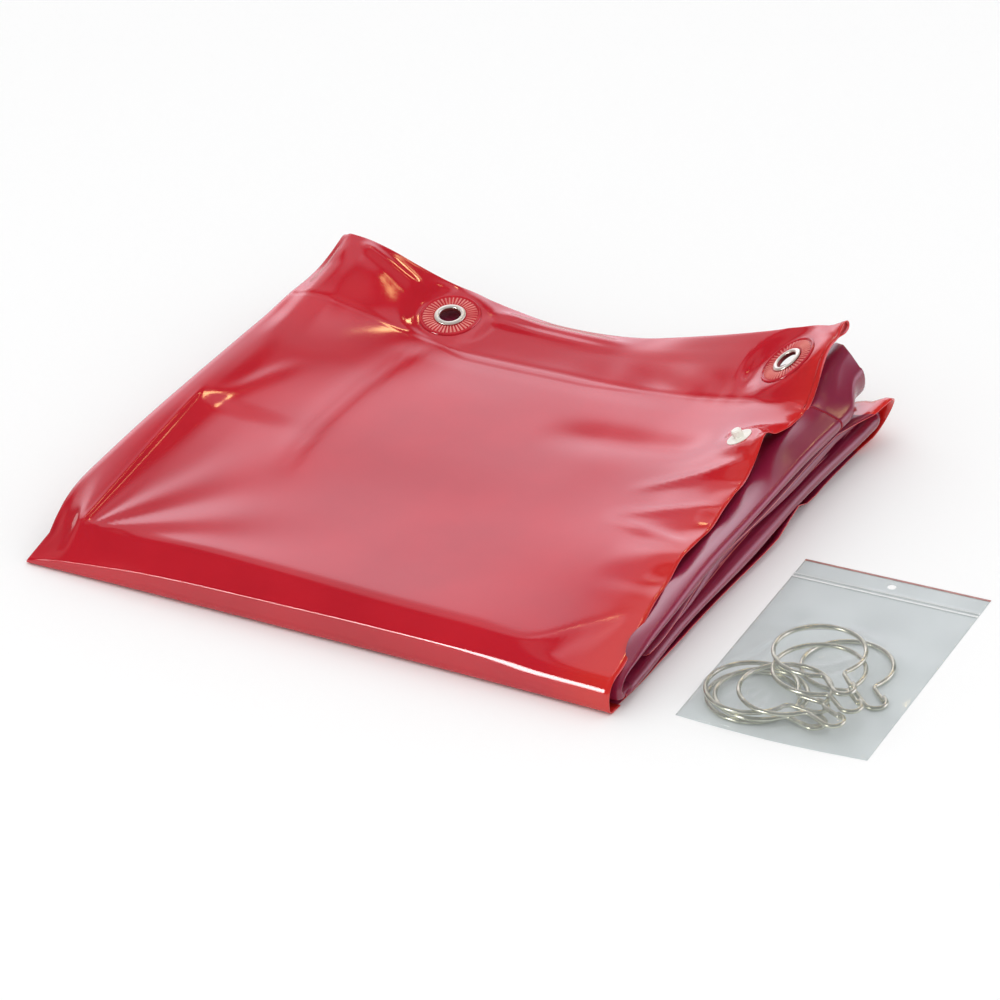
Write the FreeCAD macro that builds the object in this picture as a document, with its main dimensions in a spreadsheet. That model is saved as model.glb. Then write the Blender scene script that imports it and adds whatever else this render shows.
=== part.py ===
"""A folded welding curtain and the grip-seal bag of wire hooks that hangs it.

The curtain is one sheet of PVC film.  It is folded lengthwise into a strip of four panels, free
edge on top, and the strip is then folded crosswise into a pack.  The panel run with the hem and
the seven eyelets ends up on top as a flap; the rest of the strip is the stack below it.
Millimetres, +X along the front fold, +Y to the back, +Z up, origin under the middle of everything.
"""
import FreeCAD, Part
import math
import os

import Sketcher

Vector = FreeCAD.Vector
UP = Vector(0, 0, 1)

os.makedirs("parts", exist_ok=True)
doc = FreeCAD.newDocument("welding_curtain")

# ---------------------------------------------------------------------------------------------
# Driving dimensions
# ---------------------------------------------------------------------------------------------
SIZES = {
    # film and folds
    "film": 0.4,                  # thickness of the PVC film
    "panel_pitch": 0.62,          # from one folded layer to the next in the stack
    "top_panel": 342.0,           # top panel, left fold to free edge
    "last_panel": 346.0,          # bottom panel, left fold to free edge
    "strip_width": 354.0,         # the strip, fold to fold
    "front_height": 24.0,         # the big front fold
    "stack_back": 318.0,          # back of the stack
    "loose_end": 239.0,           # where the curtain's bottom edge ends, deep in the stack
    "hem_depth": 48.0,            # hem, from its weld line to the top edge of the curtain
    "hem_back": 309.0,            # where the hem ends, from the front
    "hem_left": 12.0,             # the hem starts this far in from the left of the strip
    # eyelets, heights from the middle of the doubled hem film
    "bore_radius": 6.0,
    "barrel_radius": 6.5,
    "hole_radius": 6.6,
    "flange_radius": 9.7,
    "curl_radius": 8.6,
    "washer_radius": 10.0,
    "disc_radius": 17.5,
    "rim_crown": 17.0,
    "rib_ring_radius": 15.6,
    "hem_face": 0.42,             # the two faces of the hem lie this far from its middle
    "disc_ribs_top": 1.1,
    "disc_rim_top": 1.45,
    "flange_foot": 1.12,
    "flange_brow": 1.6,
    "flange_crown": 8.9,
    "flange_top": 1.95,
    "washer_foot": 0.85,
    "curl_foot": 0.87,
    "curl_top": 1.3,
    # press studs, heights from the middle of the single film
    "stud_from_top": 97.0,
    "stud_radius": 7.2,
    "stud_rim": 0.8,
    "stud_face": 0.4,
    "stud_hole": 2.1,
    "stem_radius": 1.9,
    "stem_top": 0.38,
    "stud_crown": 1.2,
    "post_radius": 2.9,
    "post_tip": 2.3,
    "post_shoulder": 4.6,
    "post_top": 5.4,
    "socket_radius": 4.4,
    "socket_bore": 3.0,
    "socket_top": 3.4,
    "cap_rim": 1.2,
    # bag and hooks
    "bag_width": 104.0,
    "bag_length": 164.0,
    "bag_film": 0.15,
    "bag_gap": 20.5,              # clear floor between the curtain and the bag
    "bag_forward": 16.7,          # the bag's front corner, from the front of the curtain
    "bag_turn": 2.6,              # degrees
    "zip_from_lip": 16.0,
    "zip_height": 1.5,
    "hang_hole": 3.0,
    "lip_line": 1.6,
    "hole_from_lip": 8.0,
    "wire_radius": 1.05,
    "hook_radius": 24.4,
    "hook_bend": 3.0,
    "hook_throat": 5.2,
    "hook_cheek": 7.0,            # straight run from the throat's side to the shoulder
    "hook_neck": 6.0,
    "hook_tip": 5.0,
    "hook_pitch": 2.3,            # from one hook in the pile to the next
}

sheet = doc.addObject("Spreadsheet::Sheet", "Sizes")
for row, (name, value) in enumerate(SIZES.items(), start=1):
    sheet.set(f"A{row}", name.replace("_", " "))
    sheet.set(f"B{row}", str(value))
    sheet.setAlias(f"B{row}", name)
doc.recompute()


def size(name):
    """One driving dimension, read from the spreadsheet."""
    return float(sheet.get(name))


FILM = size("film")
PITCH = size("panel_pitch")
STRIP = size("strip_width")
HALF_TURN = 180.0
PANELS = 4
STRIPS = 5                                    # strips in the stack below the flap
TOP_EDGE = size("top_panel")
LAST_EDGE = size("last_panel")
HEM_BACK = size("hem_back")
WELD_LINE = HEM_BACK - size("hem_depth")

# The box around curtain and bag, so that the origin can sit under its middle.
BAG_ANGLE = math.radians(size("bag_turn"))
BAG_CORNER = Vector(STRIP + size("bag_gap"), size("bag_forward"), 0)
TOTAL_WIDTH = BAG_CORNER.x + size("bag_width") * math.cos(BAG_ANGLE)
TOTAL_DEPTH = size("stack_back")
ORIGIN = Vector(-TOTAL_WIDTH / 2, -TOTAL_DEPTH / 2, 0)

sub_parts = []


def finish(item, label):
    """Names a sub-part and lists it for checking and writing."""
    item.Label = label
    sub_parts.append(item)
    return item


def feature(label, shape):
    """A sub-part whose shape is made with Part's own functions, in the curtain's frame."""
    item = doc.addObject("Part::Feature", label)
    item.Shape = shape
    item.Placement = FreeCAD.Placement(ORIGIN, FreeCAD.Rotation())
    return finish(item, label)


# ---------------------------------------------------------------------------------------------
# Film: a zigzag of four panels, carried along the strip
# ---------------------------------------------------------------------------------------------
def zigzag(panels, y, film=FILM):
    """The closed section, at depth y, of a film that zigzags through the panels.

    Each panel is a list of (x, z) points along the middle of the film, left to right.  The film
    starts at the right end of the first panel and turns at the left and the right in turn.
    """
    outside, inside = [], []
    last = len(panels) - 1
    for number, points in enumerate(panels):
        side = film / 2 if number % 2 == 0 else -film / 2
        turns_left = number > 0 or last > 0
        turns_right = 0 < number < last
        front_face = [Vector(x, y, z + side) for x, z in points]
        back_face = [Vector(x, y, z - side) for x, z in points]
        if turns_left:
            back_face[0].x += film
        if turns_right:
            front_face[-1].x -= film
        leftward = number % 2 == 0
        outside += front_face[::-1] if leftward else front_face
        inside += back_face[::-1] if leftward else back_face
    outline = outside + inside[::-1]
    return Part.makePolygon(outline + [outline[0]])


def flat_strip(outer_z, towards, y):
    """The section of the flat strip: the top panel at outer_z, the others following inwards."""
    ends = [TOP_EDGE, STRIP, STRIP, LAST_EDGE]
    levels = [outer_z + towards * PITCH * number for number in range(PANELS)]
    if towards < 0:
        return zigzag([[(0, z), (end, z)] for end, z in zip(ends, levels)], y)
    # Upside down: mirror the section that lies the right way up.
    upright = zigzag([[(0, -z), (end, -z)] for end, z in zip(ends, levels)], y)
    return upright.mirror(Vector(0, 0, 0), UP)


def straight_run(outer_z, towards, y_start, y_end):
    face = Part.Face(flat_strip(outer_z, towards, y_start))
    return face.extrude(Vector(0, y_end - y_start, 0))


def fold(lower_z, upper_z, y, direction):
    """Half a turn of the strip, from its outer film at lower_z up to its outer film at upper_z."""
    face = Part.Face(flat_strip(lower_z, 1, y))
    axis_point = Vector(0, y, (lower_z + upper_z) / 2)
    return face.revolve(axis_point, Vector(direction, 0, 0), HALF_TURN)


# The strip winds inwards: front fold, bottom run, back fold, top run and so on to its loose end.
STRIP_RISE = PANELS * PITCH
BOTTOM = FILM / 2
FLAP_TOP = size("front_height") - FILM / 2
FRONT_FOLD_Y = size("front_height") / 2
STACK_TOP = BOTTOM + STRIPS * STRIP_RISE - PITCH
BACK_FOLD_Y = size("stack_back") - (STACK_TOP - BOTTOM) / 2 - FILM / 2
RUNS = [                                      # outer film height, and which way the others follow
    (BOTTOM, 1),                              # bottom
    (STACK_TOP, -1),                          # top
    (BOTTOM + STRIP_RISE, 1),                 # second
    (STACK_TOP - STRIP_RISE, -1),             # fourth
    (BOTTOM + 2 * STRIP_RISE, 1),             # middle
]


def folded_stack():
    pieces = []
    for number, (height, towards) in enumerate(RUNS):
        y_end = size("loose_end") if number == STRIPS - 1 else BACK_FOLD_Y
        pieces.append(straight_run(height, towards, FRONT_FOLD_Y, y_end))
    for number in range(STRIPS - 1):
        at_back = number % 2 == 0
        low, high = sorted((RUNS[number][0], RUNS[number + 1][0]))
        y = BACK_FOLD_Y if at_back else FRONT_FOLD_Y
        pieces.append(fold(low, high, y, 1 if at_back else -1))
    return pieces[0].multiFuse(pieces[1:])


# The hem: (x, height at the top edge, rise from the weld line) along the top panel.  It dips in
# the middle, stands up at the left corner and curls up at the right one.
TOP_HEM = [
    (12, 48, 10), (32, 42, 10), (70, 34.6, 9), (124, 32.4, 9), (160, 28, 3),
    (205, 29.5, 3), (250, 36, 8), (288, 47.5, 14), (333, 75.5, 14),
]
# The second panel, in the same terms but above its level, follows the top one up at the right and
# drops to its fold; the two below it, given as (x, lift), rise only a little.
SECOND_HEM = [
    (12, 12, 0), (32, 7, 0), (70, 0, 0), (250, 0, 0), (278, 5, 4), (320, 31, 4), (330, 33, 4),
    (346, 16, 2),
]
LOW_HEM_LIFT = [(12, 12), (32, 7), (70, 0), (250, 0), (288, 2), (346, 13)]
LOW_HEM_END = 341                             # the last panel's free edge at the hem
GAP = 0.3                                     # clear room left between one piece and the next
FRONT_ROOM = size("flange_top") + GAP         # an eyelet's front over the next film
BACK_ROOM = size("curl_top") + size("hem_face") + GAP
LAST_LEVEL = STACK_TOP + FILM / 2 + FRONT_ROOM
THIRD_LEVEL = LAST_LEVEL + BACK_ROOM
SECOND_LEVEL = THIRD_LEVEL + 2 * size("flange_top") + GAP
HEM_FILM = 2 * FILM


def lift(x):
    """How far the lower panels rise at x along the hem."""
    for (x0, z0), (x1, z1) in zip(LOW_HEM_LIFT, LOW_HEM_LIFT[1:]):
        if x <= x1:
            return z0 + (z1 - z0) * (x - x0) / (x1 - x0)
    return LOW_HEM_LIFT[-1][1]


def hem_panels(at_weld_line):
    """The four panels at the weld line or at the top edge of the curtain."""
    top = [(x, z - (rise if at_weld_line else 0)) for x, z, rise in TOP_HEM]
    second = [
        (x, SECOND_LEVEL + z - (rise if at_weld_line else 0)) for x, z, rise in SECOND_HEM
    ]
    third = [(x, THIRD_LEVEL + rise) for x, rise in LOW_HEM_LIFT]
    short = LOW_HEM_LIFT[:-1] + [(LOW_HEM_END, lift(LOW_HEM_END))]
    last = [(x, LAST_LEVEL + rise) for x, rise in short]
    return [top, second, third, last]


def front_panels():
    """The four flat panels where the flap meets the front fold, with the hem's own points."""
    ends = [TOP_EDGE, STRIP, STRIP, LAST_EDGE]
    flat = []
    for number, panel in enumerate(hem_panels(True)):
        first, last = panel[0][0], panel[-1][0]
        z = FLAP_TOP - number * PITCH
        flat.append([((x - first) / (last - first) * ends[number], z) for x, _ in panel])
    return flat


def on_panel(number, x, y):
    """The point of a panel's middle above (x, y), and the panel's upward normal there."""
    weld, edge = hem_panels(True)[number], hem_panels(False)[number]
    front = front_panels()[number]
    if y >= WELD_LINE:
        near, far, share = weld, edge, (y - WELD_LINE) / size("hem_depth")
        depth = size("hem_depth")
    else:
        near, far, share = front, weld, (y - FRONT_FOLD_Y) / (WELD_LINE - FRONT_FOLD_Y)
        depth = WELD_LINE - FRONT_FOLD_Y
    across = [(a[0] + (b[0] - a[0]) * share, a, b) for a, b in zip(near, far)]
    for (x0, a0, b0), (x1, a1, b1) in zip(across, across[1:]):
        if x0 <= x <= x1:
            part = (x - x0) / (x1 - x0)
            low = Vector(a0[0] + (a1[0] - a0[0]) * part, 0, a0[1] + (a1[1] - a0[1]) * part)
            high = Vector(b0[0] + (b1[0] - b0[0]) * part, 0, b0[1] + (b1[1] - b0[1]) * part)
            point = low + (high - low) * share
            z0 = a0[1] + (b0[1] - a0[1]) * share
            z1 = a1[1] + (b1[1] - a1[1]) * share
            along_x = Vector(x1 - x0, 0, z1 - z0)
            along_y = Vector(high.x - low.x, depth, high.z - low.z)
            return Vector(x, y, point.z), along_x.cross(along_y).normalize()
    raise ValueError(f"{x} is off panel {number}")


# ---------------------------------------------------------------------------------------------
# Where the hardware sits: panel, and place along it.  The front face of every second panel
# is turned down, because the strip is folded to and fro.
# ---------------------------------------------------------------------------------------------
EYELET_Y = HEM_BACK - size("hem_depth") / 2
EYELETS = [(0, 305.5), (0, 97.0), (1, 118.0), (1, 300.0), (2, 152.0), (3, 101.0), (3, 313.0)]
STUD_Y = HEM_BACK - size("stud_from_top")
STUDS = {"stud": (0, 313.0), "socket": (3, 322.0)}


def seat(number, x, y):
    """The placement of a piece on the front face of a panel, in the part's own frame."""
    point, normal = on_panel(number, x, y)
    outward = normal if number % 2 == 0 else -normal
    return FreeCAD.Placement(point + ORIGIN, FreeCAD.Rotation(UP, outward)), point, outward


def punch(film, point, normal, radius):
    """Cuts one round hole through the film at a point, and through no other layer."""
    reach = 2 * FILM
    return film.cut(Part.makeCylinder(radius, 2 * reach, point - normal * reach, normal))


def flap():
    """The flap with its doubled hem, and the holes for eyelets and press studs."""
    sections = [zigzag(front_panels(), FRONT_FOLD_Y), zigzag(hem_panels(True), WELD_LINE)]
    film = Part.makeLoft(sections, True, True)
    hem_sections = [
        zigzag(hem_panels(True), WELD_LINE, HEM_FILM),
        zigzag(hem_panels(False), HEM_BACK, HEM_FILM),
    ]
    hem = Part.makeLoft(hem_sections, True, True)
    for number, x in EYELETS:
        _, point, outward = seat(number, x, EYELET_Y)
        hem = punch(hem, point, outward, size("hole_radius"))
    for number, x in STUDS.values():
        _, point, outward = seat(number, x, STUD_Y)
        film = punch(film, point, outward, size("stud_hole"))
    return film.fuse(hem)


feature("curtain_stack", folded_stack())
feature("curtain_front_fold", fold(BOTTOM, FLAP_TOP, FRONT_FOLD_Y, -1))
feature("curtain_flap", flap())


# ---------------------------------------------------------------------------------------------
# Turned pieces: a closed outline of (radius, height) spun round the piece's own axis
# ---------------------------------------------------------------------------------------------
def cell(name):
    """The value and the spreadsheet expression of an outline figure; "-name" is its negative."""
    if name.startswith("-"):
        return -size(name[1:]), f"-Sizes.{name[1:]}"
    return size(name), f"Sizes.{name}"


def plane(body, role):
    return next(item for item in body.Origin.OriginFeatures if item.Role == role)


def turned(label, outline, placement):
    """A Body whose sketch has one corner per (radius, height) pair of spreadsheet names."""
    body = doc.addObject("PartDesign::Body", label)
    sketch = body.newObject("Sketcher::SketchObject", label + "_outline")
    sketch.AttachmentSupport = [(plane(body, "XZ_Plane"), "")]
    sketch.MapMode = "FlatFace"
    corners = [Vector(cell(r)[0] if r else 0, cell(z)[0], 0) for r, z in outline]
    count = len(corners)
    for i in range(count):
        sketch.addGeometry(Part.LineSegment(corners[i], corners[(i + 1) % count]), False)
    for i in range(count):
        sketch.addConstraint(Sketcher.Constraint("Coincident", i, 2, (i + 1) % count, 1))
    for i, (r, z) in enumerate(outline):
        if r:
            wide = sketch.addConstraint(Sketcher.Constraint("DistanceX", -1, 1, i, 1, cell(r)[0]))
            sketch.setExpression(f"Constraints[{wide}]", cell(r)[1])
        else:
            sketch.addConstraint(Sketcher.Constraint("PointOnObject", i, 1, -2))
        high = sketch.addConstraint(Sketcher.Constraint("DistanceY", -1, 1, i, 1, cell(z)[0]))
        sketch.setExpression(f"Constraints[{high}]", cell(z)[1])
    spin = body.newObject("PartDesign::Revolution", label + "_turned")
    spin.Profile = sketch
    spin.ReferenceAxis = (sketch, ["V_Axis"])
    spin.Angle = 360
    body.Placement = placement
    return finish(body, label)


DISC = [
    ("hole_radius", "hem_face"), ("disc_radius", "hem_face"), ("disc_radius", "disc_ribs_top"),
    ("rim_crown", "disc_rim_top"), ("rib_ring_radius", "disc_rim_top"),
    ("rib_ring_radius", "disc_ribs_top"), ("hole_radius", "disc_ribs_top"),
]
EYELET = [
    ("bore_radius", "-curl_top"), ("curl_radius", "-curl_top"), ("curl_radius", "-curl_foot"),
    ("barrel_radius", "-curl_foot"), ("barrel_radius", "flange_foot"),
    ("flange_radius", "flange_foot"), ("flange_radius", "flange_brow"),
    ("flange_crown", "flange_top"), ("bore_radius", "flange_top"),
]
WASHER = [
    ("hole_radius", "-washer_foot"), ("washer_radius", "-washer_foot"),
    ("washer_radius", "-hem_face"), ("hole_radius", "-hem_face"),
]
STUD_POST = [
    (None, "stud_face"), ("stud_radius", "stud_face"), ("stud_radius", "stud_rim"),
    ("post_radius", "stud_crown"), ("post_radius", "post_shoulder"), ("post_tip", "post_top"),
    (None, "post_top"),
]
STUD_CAP = [
    (None, "-cap_rim"), ("stud_radius", "-cap_rim"), ("stud_radius", "-stud_face"),
    ("stem_radius", "-stud_face"), ("stem_radius", "stem_top"), (None, "stem_top"),
]
SOCKET = [
    ("socket_bore", "stud_face"), ("stud_radius", "stud_face"), ("stud_radius", "stud_rim"),
    ("socket_radius", "stud_crown"), ("socket_radius", "socket_top"),
    ("socket_bore", "socket_top"),
]

for position, (panel, x) in enumerate(EYELETS, start=1):
    place = seat(panel, x, EYELET_Y)[0]
    turned(f"eyelet_disc_{position}", DISC, place)
    turned(f"eyelet_{position}", EYELET, place)
    turned(f"eyelet_washer_{position}", WASHER, place)

stud_place = seat(*STUDS["stud"], STUD_Y)[0]
turned("press_stud_post", STUD_POST, stud_place)
turned("press_stud_cap", STUD_CAP, stud_place)
socket_place = seat(*STUDS["socket"], STUD_Y)[0]
turned("press_stud_socket", SOCKET, socket_place)
turned("press_stud_socket_cap", STUD_CAP, socket_place)


# ---------------------------------------------------------------------------------------------
# Grip-seal bag, lying beside the curtain with its lip to the back
# ---------------------------------------------------------------------------------------------
BAG_FRAME = FreeCAD.Placement(BAG_CORNER + ORIGIN, FreeCAD.Rotation(UP, size("bag_turn")))


def in_bag(label, shape):
    """A sub-part given in the bag's own frame: x across from its left seam, y from its bottom."""
    item = doc.addObject("Part::Feature", label)
    item.Shape = shape
    item.Placement = BAG_FRAME
    return finish(item, label)


def box_on_bag(label, length, width, height, x, y, z):
    """A strip on the bag: every argument is an expression on the spreadsheet."""
    item = doc.addObject("Part::Box", label)
    for name, expression in (("Length", length), ("Width", width), ("Height", height)):
        item.setExpression(name, expression)
    doc.recompute()
    corner = FreeCAD.Placement(Vector(x, y, z), FreeCAD.Rotation())
    item.Placement = BAG_FRAME.multiply(corner)
    return finish(item, label)


BAG_WIDTH = size("bag_width")
BAG_LENGTH = size("bag_length")
SHEET = size("bag_film")
POUCH_FOOT = (2.5, 1.5, 101.5, 107)           # low and high x and y of the hooks' bulge
POUCH_TOP = (4.5, 3, 99.5, 103)
POUCH_HEIGHT = 10.4
POUCH_WALL = 0.4                              # the inside of the bulge, inset from the outside


def pouch_level(bounds, z, inset=0.0):
    x0, y0, x1, y1 = bounds
    x0, y0, x1, y1 = x0 + inset, y0 + inset, x1 - inset, y1 - inset
    corners = [Vector(x0, y0, z), Vector(x1, y0, z), Vector(x1, y1, z), Vector(x0, y1, z)]
    return Part.makePolygon(corners + [corners[0]])


def hang_hole():
    centre = Vector(BAG_WIDTH / 2, BAG_LENGTH - size("hole_from_lip"), 0)
    return Part.makeCylinder(size("hang_hole"), 2 * SHEET, centre)


def front_film():
    """The front film: flat on the back film at its seams, raised over the hooks."""
    flat = Part.makeBox(BAG_WIDTH, BAG_LENGTH, SHEET, Vector(0, 0, SHEET))
    foot, crown = pouch_level(POUCH_FOOT, SHEET), pouch_level(POUCH_TOP, POUCH_HEIGHT)
    outer = Part.makeLoft([foot, crown], True, True)
    foot = pouch_level(POUCH_FOOT, SHEET, POUCH_WALL)
    crown = pouch_level(POUCH_TOP, POUCH_HEIGHT - SHEET, POUCH_WALL)
    inner = Part.makeLoft([foot, crown], True, True)
    return flat.fuse(outer).cut(inner).cut(hang_hole()).removeSplitter()


def back_film():
    return Part.makeBox(BAG_WIDTH, BAG_LENGTH, SHEET).cut(hang_hole())


in_bag("bag_back_film", back_film())
in_bag("bag_front_film", front_film())
ZIP_Y = BAG_LENGTH - size("zip_from_lip")
box_on_bag("bag_zip_groove", "Sizes.bag_width", "Sizes.zip_height", "2 * Sizes.bag_film",
           0, ZIP_Y, 2 * SHEET)
box_on_bag("bag_zip_rib", "Sizes.bag_width", "Sizes.zip_height", "2 * Sizes.bag_film",
           0, ZIP_Y - 2 * size("zip_height"), 2 * SHEET)
box_on_bag("bag_lip_line", "Sizes.bag_width", "Sizes.lip_line", "Sizes.bag_film / 2",
           0, BAG_LENGTH - size("lip_line"), 2 * SHEET)


# ---------------------------------------------------------------------------------------------
# Curtain hooks: a pear-shaped loop of wire with a small open throat
# ---------------------------------------------------------------------------------------------
class Path:
    """A path of lines and tangent arcs, walked from a start point and heading, in degrees."""

    def __init__(self, x, y, heading):
        self.point = Vector(x, y, 0)
        self.heading = heading
        self.edges = []

    def ahead(self, angle=0.0):
        turn = math.radians(self.heading + angle)
        return Vector(math.cos(turn), math.sin(turn), 0)

    def line(self, length):
        end = self.point + self.ahead() * length
        self.edges.append(Part.LineSegment(self.point, end).toShape())
        self.point = end

    def arc(self, radius, angle):
        """Turns left by a positive angle and right by a negative one."""
        side = 90 if angle > 0 else -90
        centre = self.point + self.ahead(side) * radius
        middle = centre - self.ahead(side + angle / 2) * radius
        end = centre - self.ahead(side + angle) * radius
        self.edges.append(Part.Arc(self.point, middle, end).toShape())
        self.point = end
        self.heading += angle


SHOULDER_TURN = 71.0
LOOP_TURN = HALF_TURN + 2 * SHOULDER_TURN


def hook_wire():
    """One hook, flat, with the middle of its big loop at its origin and its throat towards -y."""
    bend = size("hook_bend")
    loop = size("hook_radius")
    throat = size("hook_throat")
    half_gap = loop * math.sin(math.radians(90 - SHOULDER_TURN))
    tip = Vector(half_gap, -loop - size("hook_cheek"), 0)
    path = Path(tip.x, tip.y, 90)
    path.line(size("hook_cheek"))
    path.arc(bend, -SHOULDER_TURN)
    path.arc(loop, LOOP_TURN)
    path.arc(bend, -SHOULDER_TURN)
    path.line(size("hook_neck"))
    path.arc(throat, HALF_TURN)
    path.line(size("hook_tip"))
    section = Part.makeCircle(size("wire_radius"), tip, Vector(0, 1, 0))
    return Part.Wire(path.edges).makePipeShell([Part.Wire(section)], True, False)


# Level in the pile, (x, y) of the big loop's middle in the bag, and the turn of the throat.
HOOKS = [
    (0, 31, 29, 80), (0, 62, 72, 40), (1, 34, 30, 70), (1, 60, 75, 30), (2, 31.5, 29.5, 86),
    (2, 58.5, 74, 52), (3, 48.5, 62, 36),
]

hook_shape = hook_wire()
for position, (level, x, y, turn) in enumerate(HOOKS, start=1):
    height = 2 * SHEET + size("wire_radius") + level * size("hook_pitch")
    pose = FreeCAD.Placement(Vector(x, y, height), FreeCAD.Rotation(UP, turn))
    hook = in_bag(f"curtain_hook_{position}", hook_shape)
    hook.Placement = BAG_FRAME.multiply(pose)


# ---------------------------------------------------------------------------------------------
# Check and write
# ---------------------------------------------------------------------------------------------
doc.recompute()
for item in doc.Objects:
    if "Invalid" in item.State or "Error" in item.State:
        raise RuntimeError(f"{item.Name} did not recompute: {item.State}")

whole = FreeCAD.BoundBox()
for item in sub_parts:
    shape = item.Shape
    if shape.isNull() or not shape.isValid():
        raise RuntimeError(f"{item.Label} has no valid shape")
    whole.add(shape.BoundBox)
    shape.exportStep(f"parts/{item.Label}.step")

print(f"{len(sub_parts)} sub-parts, box {whole}")
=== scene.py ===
"""Looks of the folded welding curtain and its bag of hooks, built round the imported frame.

The curtain is one sheet of red PVC film.  Here it is two pieces that meet under the front fold:
the flap that lifts, and the stack that stays on the floor.  Shapes are worked out in millimetres
from the pack's front left corner (x to the right, y to the back, z up) and turned into metres of
the frame when a mesh is made.
"""
import math

import bpy
import numpy as np
from mathutils import Matrix, Vector


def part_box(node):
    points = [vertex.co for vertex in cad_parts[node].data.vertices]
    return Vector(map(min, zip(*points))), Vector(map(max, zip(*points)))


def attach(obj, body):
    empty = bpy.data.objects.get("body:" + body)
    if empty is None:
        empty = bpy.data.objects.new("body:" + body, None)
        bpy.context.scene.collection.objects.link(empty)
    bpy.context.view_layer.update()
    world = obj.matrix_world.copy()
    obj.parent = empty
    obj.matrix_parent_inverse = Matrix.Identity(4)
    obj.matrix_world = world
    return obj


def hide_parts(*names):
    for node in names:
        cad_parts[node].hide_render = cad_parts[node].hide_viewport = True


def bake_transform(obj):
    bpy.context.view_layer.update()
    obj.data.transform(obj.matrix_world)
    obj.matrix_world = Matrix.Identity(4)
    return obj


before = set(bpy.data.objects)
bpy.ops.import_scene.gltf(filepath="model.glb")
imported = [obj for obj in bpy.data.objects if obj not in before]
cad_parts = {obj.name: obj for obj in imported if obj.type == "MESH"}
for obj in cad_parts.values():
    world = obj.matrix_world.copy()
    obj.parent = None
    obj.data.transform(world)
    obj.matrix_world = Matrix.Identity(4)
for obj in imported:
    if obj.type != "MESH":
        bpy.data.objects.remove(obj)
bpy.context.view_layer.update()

MM = 0.001
CORNER = Vector((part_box("curtain_flap")[0].x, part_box("curtain_front_fold")[0].y, 0.0))
FILM = 0.4


# --- Camera, at the angle of the photograph ---
def make_camera():
    """A long lens, turned and tilted as the photograph's was."""
    azimuth, elevation, roll = (math.radians(a) for a in (29.65, 30.53, -1.86))
    data = bpy.data.cameras.new("camera")
    data.sensor_width = 36.0
    data.lens = 202.4
    camera = bpy.data.objects.new("camera", data)
    target = Matrix.Translation(CORNER + Vector((193.8, 163.9, 0.0)) * MM)
    turn = Matrix.Rotation(azimuth, 4, "Z") @ Matrix.Rotation(math.pi / 2 - elevation, 4, "X")
    back = Matrix.Translation((0.0, 0.0, 3.0))
    camera.matrix_world = target @ turn @ Matrix.Rotation(roll, 4, "Z") @ back
    bpy.context.scene.collection.objects.link(camera)
    bpy.context.scene.camera = camera


make_camera()


# --- Small helpers: curves through a few points, and steps without corners ---
def step(low, high, value):
    """0 at low, 1 at high, and smooth between; low may be above high."""
    share = np.clip((value - low) / (high - low), 0.0, 1.0)
    return share * share * (3 - 2 * share)


def bump(value, centre, width):
    """1 at the centre, falling off on both sides over about one width."""
    return np.exp(-(((value - centre) / width) ** 2))


def hermite(low, high, low_slope, high_slope, wide, t):
    """A cubic between two heights with given slopes, over a width; t goes from 0 to 1."""
    return (
        low * (1 + 2 * t) * (1 - t) ** 2 + low_slope * wide * t * (1 - t) ** 2
        + high * t * t * (3 - 2 * t) + high_slope * wide * t * t * (t - 1))


def through(points, value):
    """A smooth curve through (place, height) points, read at value; flat beyond its ends."""
    xs, zs = np.array(points, float).T
    slopes = np.diff(zs) / np.diff(xs)
    ends = np.concatenate(([0.0], (slopes[:-1] + slopes[1:]) / 2, [0.0]))
    ends[1:-1][slopes[:-1] * slopes[1:] <= 0] = 0.0
    value = np.clip(value, xs[0], xs[-1])
    i = np.clip(np.searchsorted(xs, value) - 1, 0, len(xs) - 2)
    wide = xs[i + 1] - xs[i]
    return hermite(zs[i], zs[i + 1], ends[i], ends[i + 1], wide, (value - xs[i]) / wide)


def terrain(columns, rows, x, y):
    """Height at (x, y) from rows of heights: {y: one height per column}."""
    ys = np.array(sorted(rows), float)
    heights = np.array([through(list(zip(columns, rows[row])), x) for row in ys])
    y = np.clip(y, ys[0], ys[-1])
    i = np.clip(np.searchsorted(ys, y) - 1, 0, len(ys) - 2)
    before = np.maximum(np.arange(len(ys)) - 1, 0)
    after = np.minimum(np.arange(len(ys)) + 1, len(ys) - 1)
    apart = (ys[after] - ys[before]).reshape(-1, *[1] * np.ndim(x))
    slopes = (heights[after] - heights[before]) / apart
    wide = ys[i + 1] - ys[i]

    def pick(table, index):
        return np.take_along_axis(table, index[None], axis=0)[0]

    return hermite(pick(heights, i), pick(heights, i + 1), pick(slopes, i), pick(slopes, i + 1),
                   wide, (y - ys[i]) / wide)


def spaced(low, high, gap):
    """Evenly spaced places from low to high, both included."""
    return list(np.linspace(low, high, max(2, int(round((high - low) / gap)) + 1)))


def merged(places, fixed, clear):
    """The places, with the fixed ones put in and their near neighbours left out."""
    kept = [p for p in places if all(abs(p - f) > clear for f in fixed)]
    return sorted(kept + list(fixed))


# --- Hardware, read from the frame: centre in pack millimetres and upward normal ---
def points_of(node):
    """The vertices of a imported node, in metres."""
    return np.array([v.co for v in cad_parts[node].data.vertices], float)


def axis_towards(points, side):
    """The axis of a turned node's points, in the direction that is nearer to side."""
    axis = np.linalg.svd(points - points.mean(axis=0), full_matrices=False)[2][2]
    return axis if axis @ side > 0 else -axis


# Which panel of the zigzag each eyelet is in, counted from the top.
EYELET_PANELS = {1: 0, 2: 0, 3: 1, 4: 1, 5: 2, 6: 3, 7: 3}
WASHER_TO_HEM = 0.635         # from a washer's middle to the middle of the hem
CAP_TO_FILM = 0.8             # from a stud cap's middle to the middle of the film


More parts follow.
